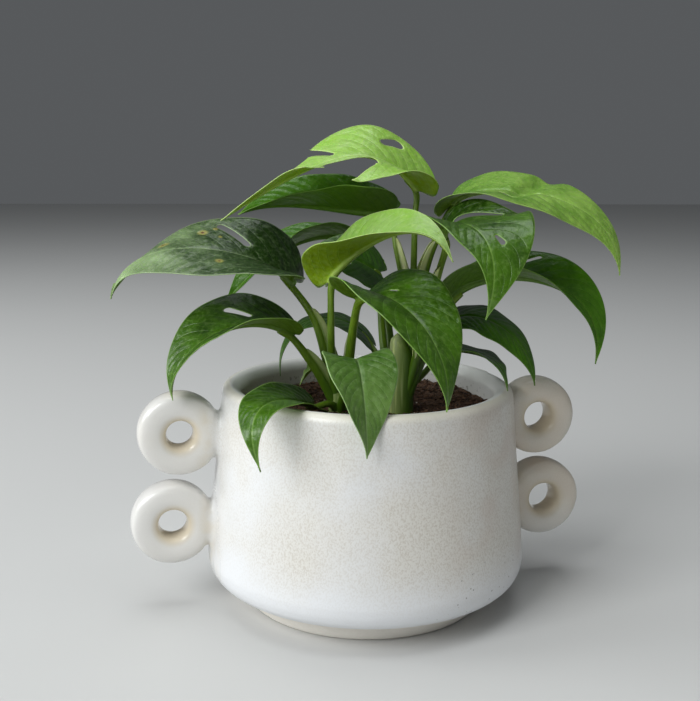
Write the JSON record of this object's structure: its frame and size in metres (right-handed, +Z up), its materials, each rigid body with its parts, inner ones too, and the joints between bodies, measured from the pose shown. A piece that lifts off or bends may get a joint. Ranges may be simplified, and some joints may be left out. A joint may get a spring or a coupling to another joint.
{
  "type": "potted rhaphidophora tetrasperma",
  "caption": "Young split-leaved climbing aroid with arching pointed leaves, in a round pale glazed planter with ring handles.",
  "frame": {"origin": "centre of the planter's foot, on the surface it stands on", "axes": "+X from the left ring handles to the right ones, +Y towards the back of the plant, +Z up"},
  "size_m": [0.2266, 0.1552, 0.2149],
  "materials": {
    "glaze": "warm white satin glaze with a fine stipple; the foot is bare beige stoneware",
    "soil": "loose brown potting mix of peat and bark",
    "stem": "smooth fleshy leaf stalk",
    "leaf": "smooth leathery leaf with a soft sheen",
    "young_leaf": "lighter young leaf with a soft sheen"
  },
  "bodies": {
    "root": {"pot": "glaze", "soil": "soil", "stems_left": "stem", "stems_right": "stem", "leaf_a": "leaf", "leaf_b": "leaf", "leaf_c": "young_leaf", "leaf_d": "leaf", "leaf_f": "young_leaf", "leaf_g": "leaf", "leaf_h": "leaf", "leaf_i": "young_leaf", "leaf_j": "leaf", "leaf_k": "leaf", "leaf_l": "leaf", "leaf_m": "leaf", "leaf_n": "leaf", "leaf_o": "leaf", "leaf_p": "leaf", "leaf_s": "leaf", "leaf_u": "young_leaf"}
  },
  "joints": []
}
